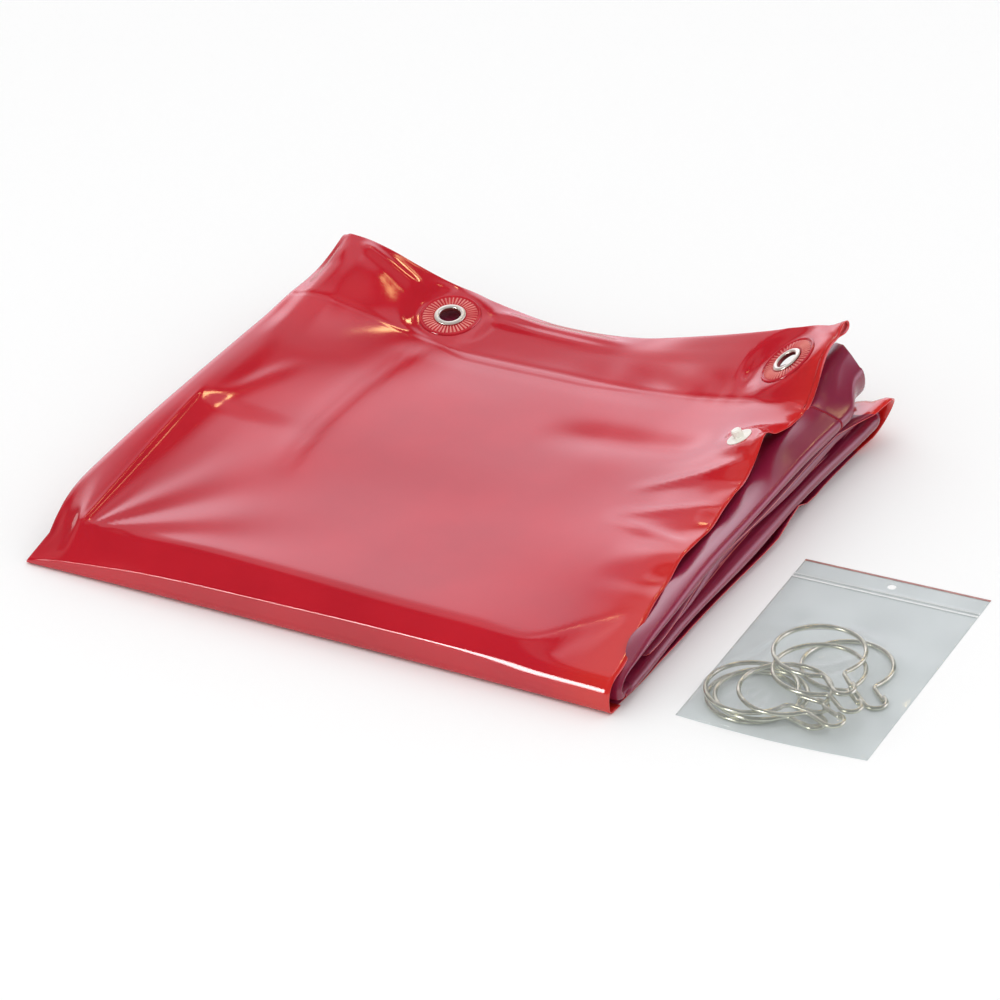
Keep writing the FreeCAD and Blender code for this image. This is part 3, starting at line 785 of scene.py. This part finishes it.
def make_eyelet(number):
    """The ribbed plate and the metal ring of one eyelet, in place of their nodes."""
    disc, washer = f"eyelet_disc_{number}", f"eyelet_washer_{number}"
    towards = points_of(disc).mean(axis=0) - points_of(washer).mean(axis=0)
    middle, axis, low, high = axis_of(disc, towards)
    plate = spun(f"eyelet_plate_{number}", middle, axis, disc_rings(low, high), DISC_SIDES)
    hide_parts(disc)
    middle, axis, low, high = axis_of(f"eyelet_{number}", towards)
    ring = spun(f"eyelet_ring_{number}", middle, axis, ring_rings(low, high), RING_SIDES)
    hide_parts(f"eyelet_{number}")
    return plate, ring


# --- The bag: a flat back film, a front film that lies over the hooks ---
BAG_WIDE, BAG_LONG = 104.0, 164.0
CELL = 1.0                    # the films' grid
SEAM_HEIGHT = 0.3             # of the front film over the back one
ZIP_LINE = 148.0              # how far up the bag its zip lies
HANG_HOLE = (52.0, 156.0)
BAG_FILM = 0.06               # thickness of the films; the middle of the back one is as high


def bag_frame():
    """Front left corner of the bag, and its directions across and along."""
    points = points_of("bag_back_film")
    left = points[np.argmin(points[:, 0] + points[:, 1])]
    right = points[np.argmax(points[:, 0] - points[:, 1])]
    across = right - left
    across[2] = 0
    across /= np.linalg.norm(across)
    along = np.array((-across[1], across[0], 0.0))
    return np.array((left[0], left[1], 0.0)), across, along


BAG_CORNER, BAG_ACROSS, BAG_ALONG = bag_frame()

WIRE = 1.25                   # radius of the hooks' wire
HOOK_LOOP, LOOP_TURN = 23.4, 322   # radius of a hook's loop, and how far round it goes
# A hook's wire: straight runs as (length, 0) and arcs as (radius, degrees to the left).
HOOK_RUNS = ((12, 0), (4, -71), (HOOK_LOOP, LOOP_TURN), (4, -71), (11, 0), (5.6, 180), (3, 0))
# Where each hook lies in the bag: middle of its loop, turn of its throat, level in the heap.
HOOK_PLACES = {
    1: (31.0, 26.0, 76, 0), 2: (61.0, 71.5, 44, 0), 3: (35.0, 26.0, 68, 1), 4: (56.0, 47.5, 47, 4),
    5: (30.5, 26.5, 84, 2), 6: (47.0, 27.5, 62, 3), 7: (50.5, 60.0, 41, 5),
}
LOWEST = 0.2                  # underside of the lowest wire
LEVEL = 2 * WIRE + 0.1


def hook_line():
    """Points along one flat hook: the middle of its loop at the origin, its throat towards -y."""
    x = HOOK_LOOP * math.sin(math.radians((360 - LOOP_TURN) / 2))
    y, heading = -36.0, 90.0
    points = [(x, y)]
    for size, turn in HOOK_RUNS:
        length = size if turn == 0 else abs(math.radians(turn)) * size
        count = 4 if turn == 0 else max(5, int(length / 1.2))
        for _ in range(count):
            heading += turn / count / 2
            x += math.cos(math.radians(heading)) * length / count
            y += math.sin(math.radians(heading)) * length / count
            heading += turn / count / 2
            points.append((x, y))
    return np.array(points)


def hook_points(number):
    """The wire of one hook in the bag's own millimetres."""
    u, v, turn, level = HOOK_PLACES[number]
    x, y = hook_line().T
    angle = math.radians(turn)
    return np.stack([
        u + x * math.cos(angle) - y * math.sin(angle),
        v + x * math.sin(angle) + y * math.cos(angle),
        np.full(x.shape, LOWEST + WIRE + LEVEL * level)], axis=1)


def make_hook(number, sides=12):
    """A round wire along a hook's line, closed at its two ends."""
    line = hook_points(number)
    ahead = np.gradient(line, axis=0)
    ahead /= np.linalg.norm(ahead, axis=1, keepdims=True)
    up = np.array((0.0, 0.0, 1.0))
    side = np.cross(ahead, up)
    angle = (np.arange(sides) * 2 * math.pi / sides)[None, :, None]
    around = side[:, None] * np.cos(angle) + up * np.sin(angle)
    u, v, z = ((line[:, None] + around * WIRE).reshape(-1, 3) * MM).T[..., None]
    points = BAG_CORNER + u * BAG_ACROSS + v * BAG_ALONG + z * up
    faces = tube_faces(len(line), sides, closed=False)
    faces += [tuple(range(sides))[::-1], tuple(range(len(points) - sides, len(points)))]
    hook = new_piece(f"hook_wire_{number}", points, faces, flat_faces=2)
    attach(hook, "bag")
    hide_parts(f"curtain_hook_{number}")
    return hook


def hook_heights(shape):
    """The highest wire over each cell of the bag, and 0 elsewhere."""
    heights = np.zeros(shape)
    for number in HOOK_PLACES:
        line = hook_points(number)
        for start, end in zip(line[:-1], line[1:]):
            ahead = end - start
            across = np.array((-ahead[1], ahead[0])) / np.linalg.norm(ahead)
            for share in np.linspace(0, 1, 6):
                for aside in (-0.6, 0.0, 0.6):
                    u, v, z = start + ahead * share
                    i = int(round((u + across[0] * aside) / CELL))
                    j = int(round((v + across[1] * aside) / CELL))
                    heights[i, j] = max(heights[i, j], z + WIRE)
    return heights


def mean_beside(film):
    """For each inner cell, the mean of the four cells beside it."""
    return (film[:-2, 1:-1] + film[2:, 1:-1] + film[1:-1, :-2] + film[1:-1, 2:]) / 4


def draped(shape):
    """A film held down at the seams and lying over the hooks."""
    wires = hook_heights(shape)
    over = np.where(wires > 0, wires + 0.45, 0.35)
    film = over.copy()
    for _ in range(260):
        mean = film.copy()
        mean[1:-1, 1:-1] = mean_beside(film)
        film = np.maximum(mean, over)
        film[0] = film[-1] = SEAM_HEIGHT
        film[:, 0] = SEAM_HEIGHT
    for _ in range(2):
        film[1:-1, 1:-1] = (film[1:-1, 1:-1] + mean_beside(film)) / 2
    return film


def bag_point(u, v, z):
    """Places in the bag's own millimetres as pack millimetres; its front edge bows out."""
    v = v - 2.6 * np.sin(math.pi * np.clip(u, 0, BAG_WIDE) / BAG_WIDE) * step(26, 0, v)
    points = (
        BAG_CORNER + u[..., None] * MM * BAG_ACROSS + v[..., None] * MM * BAG_ALONG
        + np.stack([0 * z, 0 * z, z * MM], axis=-1))
    return (points - np.array(CORNER)) / MM


def bag_wrinkles(u, v):
    """Small creases that run from the heap of hooks to the seams."""
    from_heap = np.hypot(u - 42, v - 40) + 1e-6
    angle = np.arctan2(v - 40, u - 42)
    fan = np.sin(17 * angle + 2 * np.sin(3 * angle)) * bump(from_heap, 36, 14)
    fan = 2.4 * fan * step(70, 40, u) * step(60, 30, v)
    inside = step(0, 6, u) * step(BAG_WIDE, BAG_WIDE - 6, u) * step(0, 6, v) * step(132, 112, v)
    slack = 0.35 * np.sin(v / 9.0 + 0.8 * np.sin(u / 14.0)) * step(90, 105, v)
    return (0.45 * fan + slack) * inside


def hang_hole(u, v):
    """Which cells stay round the hole in the lip, and the grid drawn aside to make it round."""
    reach = np.maximum(np.abs(u - HANG_HOLE[0]), np.abs(v - HANG_HOLE[1]))
    corners = (reach[:-1, :-1], reach[1:, :-1], reach[:-1, 1:], reach[1:, 1:])
    inside = np.max(corners, axis=0) < 2.5
    u, v = open_hole(u, v, HANG_HOLE, 2.4, 5.5)
    return ~inside, u, v


def make_bag():
    """The front film, which lies over the hooks and bulges at the zip, and the flat back film."""
    u, v = np.meshgrid(
        np.arange(0, BAG_WIDE + 0.1, CELL), np.arange(0, BAG_LONG + 0.1, CELL), indexing="ij")
    height = draped(u.shape) + np.maximum(bag_wrinkles(u, v), -0.15)
    height = height + 0.9 * bump(v, ZIP_LINE, 1.6) * step(0, 2, u) * step(BAG_WIDE, BAG_WIDE - 2, u)
    keep, u, v = hang_hole(u, v)
    front = sheet_mesh("bag_front_sheet", bag_point(u, v, height), keep)
    flat = np.full(u.shape, BAG_FILM)
    back = sheet_mesh("bag_back_sheet", bag_point(u, v, flat), keep)
    return thicken(front, BAG_FILM), thicken(back, BAG_FILM)


# --- Materials ---
def fill(node, **values):
    """Sets a node's inputs, with _ for a space, and what it has no input for as attributes."""
    for key, value in values.items():
        socket = key.replace("_", " ")
        if socket in node.inputs:
            node.inputs[socket].default_value = value
        else:
            setattr(node, key, value)


def tools(tree):
    """Two helpers for a node tree: one adds a node, the other links two sockets."""
    def add(kind, **values):
        node = tree.nodes.new(kind)
        fill(node, **values)
        return node

    return add, tree.links.new


def material(name, **values):
    """A new node material with its shader's constants set, its shader and the tree's helpers."""
    made = bpy.data.materials.new(name)
    made.use_nodes = True
    shader = made.node_tree.nodes["Principled BSDF"]
    fill(shader, **values)
    return made, shader, *tools(made.node_tree)


def mottle(add, link, scale, detail, stops, colours):
    """Noise in the object's own space, and the colour of a two-colour ramp read from it."""
    place = add("ShaderNodeTexCoord").outputs["Object"]
    noise = add("ShaderNodeTexNoise", Scale=scale, Detail=detail)
    link(place, noise.inputs["Vector"])
    ramp = add("ShaderNodeValToRGB")
    for element, stop, colour in zip(ramp.color_ramp.elements, stops, colours):
        element.position = stop
        element.color = (*colour, 1)
    link(noise.outputs["Fac"], ramp.inputs["Fac"])
    return place, noise.outputs["Fac"], ramp.outputs["Color"]


def spread(add, link, value, **settings):
    """A value run through a map range node."""
    ranged = add("ShaderNodeMapRange", **settings)
    link(value, ranged.inputs["Value"])
    return ranged.outputs["Result"]


def towards_edge_glow(add, link, place, colour, edge):
    """The colour, turning into the edge colour at the curtain's right side: a painted glow, as of
    light shining through the film near its free edges.
    """
    split = add("ShaderNodeSeparateXYZ")
    link(place, split.inputs["Vector"])
    edge_glow_share = spread(add, link, split.outputs["X"], interpolation_type="SMOOTHSTEP",
                       From_Min=CORNER.x + 300 * MM, From_Max=CORNER.x + 340 * MM)
    mixed = add("ShaderNodeMixRGB", Color2=(*edge, 1))
    link(edge_glow_share, mixed.inputs["Fac"])
    link(colour, mixed.inputs["Color1"])
    return mixed.outputs["Color"]


def film_material(name, deep, light, roughness, edge=None):
    """Glossy soft PVC; with `edge`, it turns towards that colour at the right side, a painted glow
    near the curtain's free edges.
    """
    made, shader, add, link = material(
        name, IOR=1.66, Subsurface_Weight=0.25, Subsurface_Radius=(1.0, 0.15, 0.1),
        Subsurface_Scale=0.002)
    place, cloud, colour = mottle(add, link, 14.0, 3.0, (0.35, 0.70), (deep, light))
    if edge:
        colour = towards_edge_glow(add, link, place, colour, edge)
    link(colour, shader.inputs["Base Color"])
    rough = spread(add, link, cloud, To_Min=roughness * 0.8, To_Max=roughness * 1.2)
    link(rough, shader.inputs["Roughness"])
    grain = add("ShaderNodeTexNoise", Scale=900.0, Detail=2.0)
    link(place, grain.inputs["Vector"])
    bumped = add("ShaderNodeBump", Strength=0.05, Distance=0.0002)
    link(grain.outputs["Fac"], bumped.inputs["Height"])
    link(bumped.outputs["Normal"], shader.inputs["Normal"])
    return made


def plain_material(name, dark, light, roughness, scale=120.0, **values):
    """Plastic or bag film, slightly cloudy, or plated metal with faint streaks."""
    made, shader, add, link = material(name, Roughness=roughness, **values)
    detail, stops = (4.0, (0.35, 0.65)) if "Metallic" in values else (3.0, (0.3, 0.7))
    _, _, colour = mottle(add, link, scale, detail, stops, (dark, light))
    link(colour, shader.inputs["Base Color"])
    return made


def dress(piece, finishes, which=None):
    """Gives a piece its materials; which says, face by face, the number of its material."""
    piece.data.materials.clear()
    for finish in finishes:
        piece.data.materials.append(finish)
    if which is not None:
        piece.data.polygons.foreach_set("material_index", which.astype(np.int32))


# The red film's last colour is a painted orange glow towards the curtain's right side, where its
# free edges lie.
RED_FILM = film_material(
    "red_film", (0.47, 0.005, 0.016), (0.56, 0.008, 0.020), 0.09, (0.60, 0.020, 0.016))
# A darker, slightly violet copy of the red film: painted shade for the film that lies under other
# layers, in the flap and in the stack.
SHADED_FILM = film_material("red_film_painted_shade", (0.20, 0.008, 0.036), (0.27, 0.016, 0.055), 0.24)
# A brighter orange copy of the film for the cut edges: painted glow, as of light carried through
# the film and out at its edges.
FILM_EDGE_GLOW = film_material("film_edge_painted_glow", (0.62, 0.03, 0.03), (0.78, 0.07, 0.05), 0.3)
PLATE = plain_material("red_plate", (0.40, 0.006, 0.016), (0.60, 0.02, 0.035), 0.14, 60.0)
# A paler, pinkish copy of the plate's red for the rib crests: painted highlight, as of glints on
# the ribs.
PLATE_RIB_HIGHLIGHT = plain_material("red_plate_rib_highlight", (0.66, 0.10, 0.10), (0.84, 0.30, 0.26), 0.2, 90.0)
EYELET_METAL = plain_material(
    "eyelet_metal", (0.76, 0.71, 0.63), (0.88, 0.85, 0.79), 0.28, 180.0, Metallic=0.6)
# Dark, reddish metal for the inside of the hole: painted shade, with a painted red reflection of
# the film round it.
BARREL_SHADE = plain_material(
    "eyelet_barrel_painted_shade", (0.22, 0.03, 0.035), (0.34, 0.07, 0.07), 0.35, 180.0, Metallic=0.5)
NICKEL = plain_material(
    "hook_nickel", (0.52, 0.51, 0.38), (0.76, 0.75, 0.62), 0.20, 180.0, Metallic=1.0)
CREAM = plain_material("stud_cream", (0.78, 0.76, 0.68), (0.88, 0.86, 0.78), 0.35)
BAG_FRONT = plain_material(
    "bag_clear", (0.50, 0.54, 0.53), (0.66, 0.70, 0.69), 0.10, 40.0, Alpha=0.13)
BAG_BACK = plain_material(
    "bag_haze", (0.70, 0.745, 0.76), (0.77, 0.82, 0.835), 0.40, 25.0, Alpha=0.90)
ZIP_WHITE = plain_material("zip_white", (0.86, 0.88, 0.88), (0.93, 0.95, 0.95), 0.35, Alpha=0.75)
LIP_RED = plain_material("lip_red", (0.42, 0.13, 0.11), (0.58, 0.24, 0.20), 0.40, Alpha=0.8)


# --- Each soft piece and its hardware, put together ---
def place_flap():
    """The flap's film: red on the top panel and the front fold, with painted shade, the darker copy
    of the film, on the panels below it.
    """
    film, panel = make_flap()
    # Faces from the second panel on take the painted shade; the cut edges take the painted edge
    # glow.
    dress(film, (RED_FILM, SHADED_FILM, FILM_EDGE_GLOW), panel >= 0.95)
    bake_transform(film)
    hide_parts("curtain_flap", "curtain_front_fold")


def place_stack():
    """The stack's film: painted shade, the darker copy of the film, inside the pack, and red where
    its outer side turns up at the back.
    """
    film, outer = make_stack()
    # Painted shade on most of the stack, lit red round the back fold, and the painted edge glow on
    # the cut edges.
    dress(film, (SHADED_FILM, RED_FILM, FILM_EDGE_GLOW), outer)
    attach(film, "root")
    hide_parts("curtain_stack")


def place_hardware():
    """Eyelets, press studs, hooks and the bag's zip and lip line."""
    for number in EYELET_PANELS:
        plate, ring = make_eyelet(number)
        # The rib crests take the painted highlight.
        dress(plate, (PLATE, PLATE_RIB_HIGHLIGHT), rib_highlight_faces())
        # The inside of the hole takes the painted shade.
        dress(ring, (EYELET_METAL, BARREL_SHADE), barrel_shade_faces())
        dress(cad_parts[f"eyelet_washer_{number}"], (EYELET_METAL,))
    for node in ("press_stud_post", "press_stud_cap", "press_stud_socket", "press_stud_socket_cap"):
        dress(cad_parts[node], (CREAM,))
    for number in HOOK_PLACES:
        dress(make_hook(number), (NICKEL,))
    for node in ("bag_zip_groove", "bag_zip_rib"):
        dress(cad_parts[node], (ZIP_WHITE,))
    dress(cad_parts["bag_lip_line"], (LIP_RED,))


def place_bag():
    """The bag's two films."""
    front, back = make_bag()
    for film, node, finish in (
            (front, "bag_front_film", BAG_FRONT), (back, "bag_back_film", BAG_BACK)):
        dress(film, (finish,))
        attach(film, "bag")
        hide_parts(node)


place_flap()
place_stack()
place_hardware()
place_bag()


# --- Floor and light ---
def make_floor():
    """A large pale floor."""
    half = 6.0
    corners = np.array([(-half, -half, 0), (half, -half, 0), (half, half, 0), (-half, half, 0)])
    floor = new_piece("floor", corners, [(0, 1, 2, 3)], flat_faces=1)
    floor.data.materials.append(
        material("floor_white", Base_Color=(0.93, 0.93, 0.93, 1), Roughness=0.9)[0])


def make_top_box():
    """A soft box over the front of the pack, seen by matt surfaces only."""
    data = bpy.data.lights.new("top_box", "AREA")
    data.shape = "RECTANGLE"
    data.size = data.size_y = 1.6
    data.energy = 9
    box = bpy.data.objects.new("top_box", data)
    place = Vector((0.3, -0.9, 2.4))
    aimed = place.to_track_quat("Z", "Y").to_matrix().to_4x4()
    box.matrix_world = Matrix.Translation(place) @ aimed
    box.visible_glossy = False
    bpy.context.scene.collection.objects.link(box)


# What the glossy film mirrors: soft patches of (azimuth from +y towards +x, elevation, radius of
# the full patch, radius where it ends, strength, colour).
MIRRORED = (
    (-32, 11, 12, 32, 1.7, (1.0, 0.93, 1.05)),
    (-40, 50, 6, 16, 0.6, (1.0, 0.90, 1.0)),
    (-20, 57, 4, 11, 0.6, (1.0, 0.90, 1.0)),
    (-60, 80, 6, 18, 0.3, (1.0, 0.93, 0.95)),
    (-100, 35, 6, 22, 0.3, (1.0, 0.9, 0.9)),
    (55, 12, 14, 36, 2.3, (0.92, 0.84, 1.0)),
    (-154, 12, 5, 12, 16.0, (1.0, 1.0, 1.0)),
    (-20, 49, 1.0, 2.4, 12.0, (1.0, 0.72, 0.30)),
    (5, 66, 0.6, 1.8, 9.0, (1.0, 0.72, 0.30)),
    (-54, 26, 8, 20, 0.9, (1.0, 0.93, 1.0)),
    (-1, 38, 1.4, 3.0, 15.0, (1.0, 0.75, 0.35)),
    (-3, 45, 0.8, 2.0, 6.0, (1.0, 0.75, 0.35)),
)
MIRRORED_REST = 0.13


def mirrored_light(add, link):
    """The colour that the glossy film mirrors in each direction: a faint rest and the patches."""
    place = add("ShaderNodeTexCoord").outputs["Generated"]
    total = add("ShaderNodeRGB").outputs[0]
    total.default_value = (MIRRORED_REST, MIRRORED_REST, MIRRORED_REST, 1)
    for azimuth, elevation, full, end, strength, colour in MIRRORED:
        turn, rise = math.radians(azimuth), math.radians(elevation)
        towards = add("ShaderNodeVectorMath", operation="DOT_PRODUCT")
        towards.inputs[1].default_value = (
            math.sin(turn) * math.cos(rise), math.cos(turn) * math.cos(rise), math.sin(rise))
        link(place, towards.inputs[0])
        patch = spread(add, link, towards.outputs["Value"], interpolation_type="SMOOTHSTEP",
                       From_Min=math.cos(math.radians(end)), From_Max=math.cos(math.radians(full)))
        tinted = add("ShaderNodeVectorMath", operation="SCALE")
        tinted.inputs[0].default_value = [strength * part for part in colour]
        link(patch, tinted.inputs["Scale"])
        added = add("ShaderNodeVectorMath")
        link(total, added.inputs[0])
        link(tinted.outputs[0], added.inputs[1])
        total = added.outputs[0]
    return total


def make_world():
    """White for the camera, even light for matt surfaces, patches of light for glossy ones."""
    world = bpy.data.worlds.new("studio")
    bpy.context.scene.world = world
    world.use_nodes = True
    add, link = tools(world.node_tree)
    matt = world.node_tree.nodes["Background"]
    fill(matt, Color=(1, 1, 1, 1), Strength=0.98)
    gloss = add("ShaderNodeBackground")
    link(mirrored_light(add, link), gloss.inputs["Color"])
    seen = add("ShaderNodeBackground", Color=(1, 1, 1, 1))
    rays = add("ShaderNodeLightPath")
    light = matt.outputs[0]
    for kind, other in (("Is Glossy Ray", gloss), ("Is Camera Ray", seen)):
        mixed = add("ShaderNodeMixShader")
        link(rays.outputs[kind], mixed.inputs["Fac"])
        link(light, mixed.inputs[1])
        link(other.outputs[0], mixed.inputs[2])
        light = mixed.outputs[0]
    link(light, world.node_tree.nodes["World Output"].inputs["Surface"])


make_floor()
make_world()
make_top_box()
bpy.context.scene.view_settings.view_transform = "Standard"
